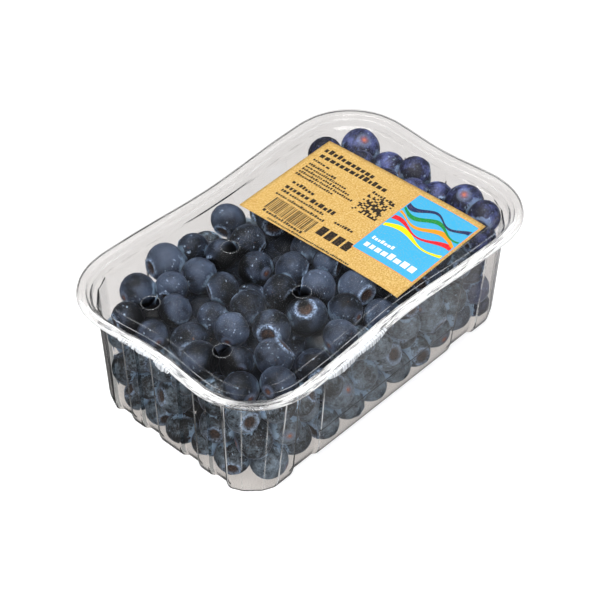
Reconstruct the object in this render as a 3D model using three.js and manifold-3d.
// A sealed punnet of blueberries: a clear thermoformed tray with fluted walls
// and a scalloped flange, the heap of berries that fills it, the thin film
// sealed over it and the paper label stuck on the film.
//
// Millimetres, +Z up. The origin is the middle of the tray's underside. X runs
// along the long sides and Y along the short ones.

import * as THREE from 'three';
import { mergeVertices } from 'three/addons/utils/BufferGeometryUtils.js';
import Module from 'manifold-3d';

const wasm = await Module();
wasm.setup();

// ---------------------------------------------------------------- dimensions

// Flange: the flat sealing rim round the mouth, with a small turned-down lip.
const RIM_LENGTH = 180;
const RIM_WIDTH = 117;
const RIM_HEIGHT = 58.6;
const RIM_CORNER = 30;
const FLANGE_WIDTH = 6.3;
const LIP_DROP = 1.6;
const LIP_FLARE = 0.4;
const LIP_ROUNDING = 0.9;
const SCALLOP_LONG = 2.4;
const SCALLOP_SHORT = 2.1;
const SCALLOP_SHARPNESS = 6.5;
const SCALLOP_INTO_CORNER = 0.7;

// Wall: half sizes of its outer face and the cut of its corners, by height.
const SHEET = 0.6;
const FOOT = { z: 0, length: 78.2, width: 45, cut: 12 };
const HEEL = { z: 4.6, length: 80, width: 46.8, cut: 14.4 };
const SHOULDER = { z: 53, length: 81.8, width: 50.8, cut: 17.6 };
const SHOULDER_RISE = 0.6;
const BAND_DRAFT = 0.6;
const CORNER_FACETS = 3;
const FACET_BENDS = [[0, 1], [0.18, 0.61], [0.61, 0.18], [1, 0]];

// Flutes: upright channels pressed inwards, wider and deeper at their feet.
const SHORT_FLUTES = [{ from: 7.2, to: 16 }, { from: 23.2, to: 31.8 }];
const LONG_FLUTES = [{ from: 42.2, to: 56.6 }];
const FLUTE_DEPTH_LOW = 1.7;
const FLUTE_DEPTH_HIGH = 1.2;
const FLUTE_SIDE = 1.1;
const FLUTE_SPREAD = 0.9;
const FLUTE_TOP = 47.5;
const FLUTE_END = 50;
const PLAIN_STOPS = [28, 14];
const STRAIGHT_SHARE = 0.99;
const CORNER_STEPS = 2 * CORNER_FACETS;

// Film and label.
const CLEARANCE = 0.3;
const FILM_THICKNESS = 0.35;
const FILM_RISE = 2.3;
const RISE_POWER = 6;
const FILM_RINGS = [0.88, 0.6];
const VENT = { radius: 3.8, x: [-67.8, -23], y: [-19.8, 19.8], sides: 12, reach: 10 };
const LABEL = { x: 28.6, y: -5.5, length: 57.5, width: 84.5, turn: 1.7, thickness: 0.3 };
const LABEL_CELLS = { x: 4, y: 6 };

// Berries.
const BERRY_SMALL = 6.3;
const BERRY_LARGE = 8.5;
const BERRY_COUNT = 296;
const BERRY_FLATNESS = 0.93;
const SETTLE_ROUNDS = 700;
const SETTLE_DROP = 0.035;
const SETTLE_PUSH = 0.45;
const MOST_SQUEEZE = 2.6;
const SHOWING_DEPTH = 0.8;
const CORE_INSET = 7.2;
const CORE_LOW = 7;
const CORE_HIGH = 51;
const SEED = 11.7;

// Berries that stand up against the film or the far walls: place and radius.
const MARKED_BERRIES = [
  { x: -73, y: 28, z: 50.5, r: 7 },
  { x: -59.5, y: 36.5, z: 51, r: 7.6 },
  { x: -40, y: 40.5, z: 51.2, r: 8.4 },
  { x: -26.5, y: 38, z: 51.5, r: 7 },
  { x: -3.5, y: 40.5, z: 51.5, r: 7.5 },
  { x: -9, y: 24, z: 52.4, r: 7.8 },
  { x: -24.8, y: -23.8, z: 52, r: 8.5 },
  { x: -51, y: -30.8, z: 52.2, r: 8 },
  { x: 70.8, y: 32.6, z: 51.2, r: 8.8 },
  { x: 73, y: 3.3, z: 52, r: 7.5 },
  { x: 72.6, y: -24.6, z: 51.5, r: 8.3 },
  { x: 59, y: -41.5, z: 51.5, r: 7 },
];

// The lowest row lies along the walls: its berries, and the rectangle that
// they start on.
const FOOT_ROW = { berries: 28, length: 72, width: 38.5, z: 8 };

// The heap lies one berry lower along this stretch of the far long wall.
const DIP = { from: 2, to: 56, behind: 37, above: 45 };

// Points of a mesh closer than this are one point.
const MERGE_DISTANCE = 1e-3;

// ------------------------------------------------------------------- helpers

const mix = (a, b, t) => a + (b - a) * t;
const clamp01 = (t) => Math.min(1, Math.max(0, t));

// A repeatable draw between 0 and 1 for a numbered thing and a numbered use.
function draw(index, use) {
  const wave = Math.sin(index * 12.9898 + use * 78.233 + SEED) * 43758.5453;
  return wave - Math.floor(wave);
}

// Turns a closed mesh into a solid, once its points that meet are merged.
function toSolid(geometry) {
  const bare = geometry.clone();
  bare.deleteAttribute('normal');
  bare.deleteAttribute('uv');
  const merged = mergeVertices(bare, MERGE_DISTANCE);
  return new wasm.Manifold(new wasm.Mesh({
    numProp: 3,
    vertProperties: new Float32Array(merged.attributes.position.array),
    triVerts: new Uint32Array(merged.index.array),
  }));
}

function toGeometry(solid) {
  const mesh = solid.getMesh();
  const geometry = new THREE.BufferGeometry();
  geometry.setAttribute('position', new THREE.BufferAttribute(mesh.vertProperties, 3));
  geometry.setIndex(new THREE.BufferAttribute(mesh.triVerts, 1));
  geometry.computeVertexNormals();
  return geometry;
}

// Skins a stack of rings, each with as many points as the next, and closes
// the first and last ring with a fan to a middle point.
function skinRings(rings, firstMiddle, lastMiddle) {
  const count = rings[0].length;
  const points = rings.flat().concat([firstMiddle, lastMiddle]);
  const first = rings.length * count;
  const index = [];
  for (let i = 0; i < count; i++) {
    const next = (i + 1) % count;
    for (let k = 0; k + 1 < rings.length; k++) {
      const low = k * count;
      const high = low + count;
      index.push(low + i, low + next, high + next, low + i, high + next, high + i);
    }
    const top = (rings.length - 1) * count;
    index.push(first, next, i, first + 1, top + i, top + next);
  }
  const geometry = new THREE.BufferGeometry();
  geometry.setAttribute('position', new THREE.Float32BufferAttribute(points.flat(), 3));
  geometry.setIndex(index);
  geometry.computeVertexNormals();
  return geometry;
}

function namedMesh(name, geometry, color, roughness, metalness = 0) {
  const material = new THREE.MeshStandardMaterial({ color, roughness, metalness });
  const mesh = new THREE.Mesh(geometry, material);
  mesh.name = name;
  return mesh;
}

// -------------------------------------------------------------- tray outline

// The wall's outer half sizes at a height, moved in by an inset. The corner
// cut shrinks with the inset so that the sheet keeps its thickness there.
function wallAt(z, inset = 0) {
  const [low, high] = z < HEEL.z ? [FOOT, HEEL] : [HEEL, SHOULDER];
  const t = (z - low.z) / (high.z - low.z);
  return {
    length: mix(low.length, high.length, t) - inset,
    width: mix(low.width, high.width, t) - inset,
    cut: mix(low.cut, high.cut, t) - inset * (2 - Math.SQRT2),
  };
}

// How deep the flutes are at a height, from 1 at the foot to 0 at their end.
function fluteDepth(z) {
  const depth = mix(FLUTE_DEPTH_LOW, FLUTE_DEPTH_HIGH, clamp01(z / FLUTE_TOP));
  return depth * clamp01((FLUTE_END - z) / (FLUTE_END - FLUTE_TOP));
}

// The four stops of one flute along its side: edge, floor, floor, edge.
function fluteStops(flute, z) {
  const spread = FLUTE_SPREAD * clamp01(1 - z / FLUTE_TOP);
  const from = flute.from - spread;
  const to = flute.to;
  return [
    { at: from, depth: 0 },
    { at: from + FLUTE_SIDE, depth: 1 },
    { at: to - FLUTE_SIDE, depth: 1 },
    { at: to, depth: 0 },
  ];
}

// The faceted corner of the wall, which bends twice on its way round. The
// result is a fraction of the cut, measured from the sharp corner.
function facetedCorner(step) {
  const place = (step / CORNER_STEPS) * CORNER_FACETS;
  const k = Math.min(Math.floor(place), CORNER_FACETS - 1);
  return [0, 1].map((axis) => mix(FACET_BENDS[k][axis], FACET_BENDS[k + 1][axis], place - k));
}

// The round corner of the flange, as the same kind of fraction.
function roundCorner(step) {
  const angle = (step / CORNER_STEPS) * Math.PI / 2;
  return [1 - Math.cos(angle), 1 - Math.sin(angle)];
}

// One quarter of an outline, from the middle of the +X side to the middle of
// the +Y side. Each stop has a place, and how far the flutes move it in. Where
// the side's straight run is shorter than its flutes reach, as on the flange,
// their stops draw together to end just before the corner.
function quarterStops({ length, width, cut }, z, corner) {
  const reach = Math.max(...SHORT_FLUTES.map(({ to }) => to));
  const fit = Math.min(1, STRAIGHT_SHARE * (width - cut) / reach);
  const stops = [{ x: length, y: 0, inX: 0, inY: 0 }];
  for (const flute of SHORT_FLUTES) {
    for (const { at, depth } of fluteStops(flute, z)) {
      stops.push({ x: length, y: at * fit, inX: depth, inY: 0 });
    }
  }
  for (let step = 0; step <= CORNER_STEPS; step++) {
    const [offX, offY] = corner(step);
    stops.push({ x: length - cut * offX, y: width - cut * offY, inX: 0, inY: 0 });
  }
  for (const flute of LONG_FLUTES) {
    for (const { at, depth } of fluteStops(flute, z).reverse()) {
      stops.push({ x: at, y: width, inX: 0, inY: depth });
    }
  }
  for (const x of PLAIN_STOPS) {
    stops.push({ x, y: width, inX: 0, inY: 0 });
  }
  stops.push({ x: 0, y: width, inX: 0, inY: 0 });
  return stops;
}

// Mirrors a quarter into a whole outline, anticlockwise seen from above.
function mirrorQuarter(quarter) {
  const inner = quarter.slice(1, -1);
  const flip = (list, signX, signY) => list.map(([x, y, z]) => [x * signX, y * signY, z]);
  return [
    ...quarter,
    ...flip(inner, -1, 1).reverse(),
    ...flip(quarter, -1, -1),
    ...flip(inner, 1, -1).reverse(),
  ];
}

// The wall's ring at a height, with its flutes.
function wallRing(z, inset = 0) {
  const depth = fluteDepth(z);
  const quarter = quarterStops(wallAt(z, inset), z, facetedCorner)
    .map((s) => [s.x - s.inX * depth, s.y - s.inY * depth, z]);
  return mirrorQuarter(quarter);
}

// The flange's ring at a height, inset from its outer edge. Each side is drawn
// in by a shallow scallop about its middle.
function rimRing(z, inset) {
  const size = {
    length: RIM_LENGTH / 2 - inset,
    width: RIM_WIDTH / 2 - inset,
    cut: RIM_CORNER - inset,
  };
  const quarter = quarterStops(size, z, roundCorner).map((s) => {
    const alongX = clamp01(s.x / (size.length - size.cut * (1 - SCALLOP_INTO_CORNER)));
    const alongY = clamp01(s.y / (size.width - size.cut * (1 - SCALLOP_INTO_CORNER)));
    const inY = SCALLOP_LONG * (1 - alongX ** 2) ** SCALLOP_SHARPNESS * (s.y / size.width);
    const inX = SCALLOP_SHORT * (1 - alongY ** 2) ** SCALLOP_SHARPNESS * (s.x / size.length);
    return [s.x - inX, s.y - inY, z];
  });
  return mirrorQuarter(quarter);
}

// ---------------------------------------------------------------------- tray

// One sheet, followed up its outer face, over the flange and down its inner
// face to the floor.
function trayGeometry() {
  const mouth = FLANGE_WIDTH;
  const under = RIM_HEIGHT - SHEET;
  const rings = [
    wallRing(FOOT.z),
    wallRing(HEEL.z),
    wallRing(FLUTE_TOP),
    wallRing(FLUTE_END),
    wallRing(SHOULDER.z),
    rimRing(SHOULDER.z + SHOULDER_RISE, mouth + BAND_DRAFT - SHEET),
    rimRing(under, mouth - SHEET),
    rimRing(under, LIP_ROUNDING + SHEET),
    rimRing(RIM_HEIGHT - LIP_DROP, LIP_FLARE + SHEET / 2),
    rimRing(RIM_HEIGHT - LIP_DROP, 0),
    rimRing(RIM_HEIGHT - LIP_FLARE, LIP_FLARE),
    rimRing(RIM_HEIGHT, LIP_ROUNDING),
    rimRing(RIM_HEIGHT, mouth),
    rimRing(SHOULDER.z + SHOULDER_RISE + SHEET, mouth + BAND_DRAFT),
    wallRing(SHOULDER.z, SHEET),
    wallRing(FLUTE_END, SHEET),
    wallRing(FLUTE_TOP, SHEET),
    wallRing(HEEL.z, SHEET),
    wallRing(FOOT.z + SHEET, SHEET),
  ];
  return skinRings(rings, [0, 0, 0], [0, 0, SHEET]);
}

// ------------------------------------------------------------- film and label

// How far the fruit presses the film up above the flange.
function filmRise(x, y) {
  const alongX = clamp01(Math.abs(x) / (RIM_LENGTH / 2 - FLANGE_WIDTH));
  const alongY = clamp01(Math.abs(y) / (RIM_WIDTH / 2 - FLANGE_WIDTH));
  return FILM_RISE * (1 - alongX ** RISE_POWER) * (1 - alongY ** RISE_POWER);
}

const FILM_UNDERSIDE = RIM_HEIGHT + CLEARANCE;
const FILM_TOP = FILM_UNDERSIDE + FILM_THICKNESS;

function filmGeometry() {
  const everySecond = (ring) => ring.filter((_, i) => i % 2 === 0);
  const edge = everySecond(rimRing(0, LIP_ROUNDING));
  const mouth = everySecond(rimRing(0, FLANGE_WIDTH));
  const inner = FILM_RINGS.map((scale) => mouth.map(([x, y]) => [x * scale, y * scale]));
  const flat = [edge, mouth, ...inner];
  const lift = (ring, z) => ring.map(([x, y]) => [x, y, z + filmRise(x, y)]);
  const rings = [
    ...flat.map((ring) => lift(ring, FILM_UNDERSIDE)).reverse(),
    ...flat.map((ring) => lift(ring, FILM_TOP)),
  ];
  const underMiddle = [0, 0, FILM_UNDERSIDE + FILM_RISE];
  const topMiddle = [0, 0, FILM_TOP + FILM_RISE];
  let film = toSolid(skinRings(rings, underMiddle, topMiddle));
  for (const x of VENT.x) {
    for (const y of VENT.y) {
      const punch = new THREE.CylinderGeometry(VENT.radius, VENT.radius, VENT.reach, VENT.sides);
      punch.rotateX(Math.PI / 2);
      punch.translate(x, y, FILM_TOP);
      film = film.subtract(toSolid(punch));
    }
  }
  return toGeometry(film);
}

// A thin sheet of cells that follows the film's rise, turned a little.
function labelGeometry() {
  const across = LABEL_CELLS.x;
  const along = LABEL_CELLS.y;
  const turn = THREE.MathUtils.degToRad(LABEL.turn);
  const sheet = new THREE.BoxGeometry(LABEL.length, LABEL.width, LABEL.thickness, across, along, 1);
  sheet.rotateZ(turn);
  sheet.translate(LABEL.x, LABEL.y, FILM_TOP + CLEARANCE + LABEL.thickness / 2);
  const place = sheet.attributes.position;
  for (let i = 0; i < place.count; i++) {
    place.setZ(i, place.getZ(i) + filmRise(place.getX(i), place.getY(i)));
  }
  return toGeometry(toSolid(sheet));
}

// ------------------------------------------------------------------- berries

// The flat sides that hold a berry in one quarter of the tray, as lines
// { nx, ny, reach }: the two walls and the three facets of the corner.
function wallLines(z) {
  const size = wallAt(Math.max(z, HEEL.z), SHEET + CLEARANCE);
  const lines = [
    { nx: 1, ny: 0, reach: size.length },
    { nx: 0, ny: 1, reach: size.width },
  ];
  for (let facet = 0; facet < CORNER_FACETS; facet++) {
    const [ax, ay] = FACET_BENDS[facet];
    const [bx, by] = FACET_BENDS[facet + 1];
    const side = Math.hypot(bx - ax, by - ay);
    const nx = (ay - by) / side;
    const ny = (bx - ax) / side;
    const reach = nx * (size.length - size.cut * ax) + ny * (size.width - size.cut * ay);
    lines.push({ nx, ny, reach });
  }
  return lines;
}

// How much further in the flutes keep a berry that lies against their edges.
function fluteKeepOut(flutes, along, radius, z) {
  let keepOut = 0;
  for (const flute of flutes) {
    const beyond = Math.max(flute.from - FLUTE_SPREAD - along, along - flute.to, 0);
    if (beyond < radius) {
      const room = radius - Math.sqrt(radius ** 2 - beyond ** 2);
      keepOut = Math.max(keepOut, fluteDepth(z - radius) - room);
    }
  }
  return keepOut;
}

// Moves one berry back inside the walls, off the floor and under the film.
function keepInside(berry) {
  const signX = Math.sign(berry.x) || 1;
  const signY = Math.sign(berry.y) || 1;
  let x = Math.abs(berry.x);
  let y = Math.abs(berry.y);
  for (const { nx, ny, reach } of wallLines(berry.z)) {
    const inX = nx === 1 ? fluteKeepOut(SHORT_FLUTES, y, berry.r, berry.z) : 0;
    const inY = ny === 1 ? fluteKeepOut(LONG_FLUTES, x, berry.r, berry.z) : 0;
    const over = nx * x + ny * y + berry.r + inX + inY - reach;
    if (over > 0) {
      x -= nx * over;
      y -= ny * over;
    }
  }
  berry.x = x * signX;
  berry.y = y * signY;
  const floor = SHEET + CLEARANCE + berry.r;
  const ceiling = RIM_HEIGHT + filmRise(berry.x, berry.y) - berry.r;
  berry.z = Math.min(ceiling, Math.max(floor, berry.z));
}

// The nth term of the evenly spread sequence of a prime base.
function spreadTerm(n, base) {
  let term = 0;
  for (let part = 1 / base, left = n; left > 0; part /= base, left = Math.floor(left / base)) {
    term += part * (left % base);
  }
  return term;
}

// The nth place of the lowest row: equal steps round its rectangle, from half
// a step after a corner.
function footRowPlace(n) {
  const { berries, length, width, z } = FOOT_ROW;
  const walked = ((n + 0.5) / berries) * 4 * (length + width);
  const walk = (start, side) => Math.min(side, Math.max(0, walked - start));
  return {
    x: walk(0, 2 * length) - walk(2 * (length + width), 2 * length) - length,
    y: walk(2 * length, 2 * width) - walk(4 * length + 2 * width, 2 * width) - width,
    z,
  };
}

// The nth place of the rest, spread evenly through the whole tray.
function loosePlace(n) {
  return {
    x: (spreadTerm(n, 2) * 2 - 1) * HEEL.length,
    y: (spreadTerm(n, 3) * 2 - 1) * HEEL.width,
    z: spreadTerm(n, 5) * RIM_HEIGHT,
  };
}

// How far a berry is pressed into the neighbour that it overlaps most.
function squeeze(berry, berries) {
  const overlaps = berries
    .filter((other) => other !== berry)
    .map((other) => {
      const distance = Math.hypot(other.x - berry.x, other.y - berry.y, other.z - berry.z);
      return berry.r + other.r - distance;
    });
  return Math.max(...overlaps);
}

// Whether a berry would fill the dip along the far long wall.
function fillsDip(berry) {
  return berry.x > DIP.from && berry.x < DIP.to && berry.y > DIP.behind && berry.z > DIP.above;
}

// Lays the lowest row, strews the rest through the tray and lets the berries
// push each other apart and sink, all at once in each round, until they lie as
// a heap. The marked berries stay where they are, and one caught between them
// is left out, as are those over the dip.
function settledBerries() {
  const berries = MARKED_BERRIES.map((berry) => ({ ...berry, fixed: true }));
  for (let i = berries.length; i < BERRY_COUNT; i++) {
    const spread = (draw(i, 1) + draw(i, 2)) / 2;
    const row = i - MARKED_BERRIES.length;
    const place = row < FOOT_ROW.berries ? footRowPlace(row) : loosePlace(i);
    berries.push({ ...place, r: mix(BERRY_SMALL, BERRY_LARGE, spread), fixed: false });
  }
  for (let round = 0; round < SETTLE_ROUNDS; round++) {
    const moves = berries.map(() => [0, 0, 0]);
    for (let i = 0; i < berries.length; i++) {
      for (let j = i + 1; j < berries.length; j++) {
        const a = berries[i];
        const b = berries[j];
        const gap = [b.x - a.x, b.y - a.y, b.z - a.z];
        const distance = Math.hypot(...gap);
        const overlap = a.r + b.r - distance;
        if (overlap > 0) {
          const push = SETTLE_PUSH * overlap / distance;
          gap.forEach((value, axis) => {
            moves[i][axis] -= push * value;
            moves[j][axis] += push * value;
          });
        }
      }
    }
    berries.forEach((berry, i) => {
      if (!berry.fixed) {
        berry.x += moves[i][0];
        berry.y += moves[i][1];
        berry.z += moves[i][2] - SETTLE_DROP;
        keepInside(berry);
      }
    });
  }
  return berries.filter(
    (berry) => berry.fixed || (squeeze(berry, berries) < MOST_SQUEEZE && !fillsDip(berry)),
  );
}

// Whether a berry lies near enough to the walls, floor or film to be seen.
function shows(berry) {
  const x = Math.abs(berry.x);
  const y = Math.abs(berry.y);
  const depth = SHOWING_DEPTH * berry.r + berry.r;
  const nearWall = wallLines(berry.z).some(({ nx, ny, reach }) => nx * x + ny * y + depth > reach);
  const nearFloor = berry.z < depth;
  const nearFilm = berry.z > RIM_HEIGHT - depth;
  return nearWall || nearFloor || nearFilm;
}

// A berry with few sides, slightly flattened from stalk to crown and tipped.
function berryGeometry(berry, index) {
  const geometry = new THREE.OctahedronGeometry(berry.r, 1);
  geometry.scale(1, 1, BERRY_FLATNESS);
  geometry.rotateX(draw(index, 5) * Math.PI);
  geometry.rotateZ(draw(index, 6) * Math.PI);
  geometry.translate(berry.x, berry.y, berry.z);
  return geometry;
}

// The unseen middle of the heap: the tray's own form, smaller all round.
function coreGeometry() {
  const ring = (z) => {
    const { length, width, cut } = wallAt(z, CORE_INSET);
    const corner = FACET_BENDS.map(([offX, offY]) => [length - cut * offX, width - cut * offY, z]);
    return mirrorQuarter([[length, 0, z], ...corner, [0, width, z]]);
  };
  return skinRings([ring(CORE_LOW), ring(CORE_HIGH)], [0, 0, CORE_LOW], [0, 0, CORE_HIGH]);
}

// The largest body of a solid, without loose scraps and closed hollows.
function largestBody(solid) {
  return solid.decompose().reduce((a, b) => (b.volume() > a.volume() ? b : a));
}

// The core with every berry that shows fused to it. Merging the fused skin's
// points can pinch off a scrap, so the largest body is picked before and after.
function berriesGeometry() {
  let heap = toSolid(coreGeometry());
  settledBerries().forEach((berry, index) => {
    if (shows(berry)) {
      heap = heap.add(toSolid(berryGeometry(berry, index)));
    }
  });
  const skin = toGeometry(largestBody(heap));
  return toGeometry(largestBody(toSolid(skin)));
}

// --------------------------------------------------------------------- model

const punnet = new THREE.Group();
punnet.add(namedMesh('tray', trayGeometry(), 0xe9e6e3, 0.08));
punnet.add(namedMesh('berries', berriesGeometry(), 0x3a4258, 0.6));
punnet.add(namedMesh('film', filmGeometry(), 0xdfe4e8, 0.1));
punnet.add(namedMesh('label', labelGeometry(), 0xe0af62, 0.85));

export default punnet;
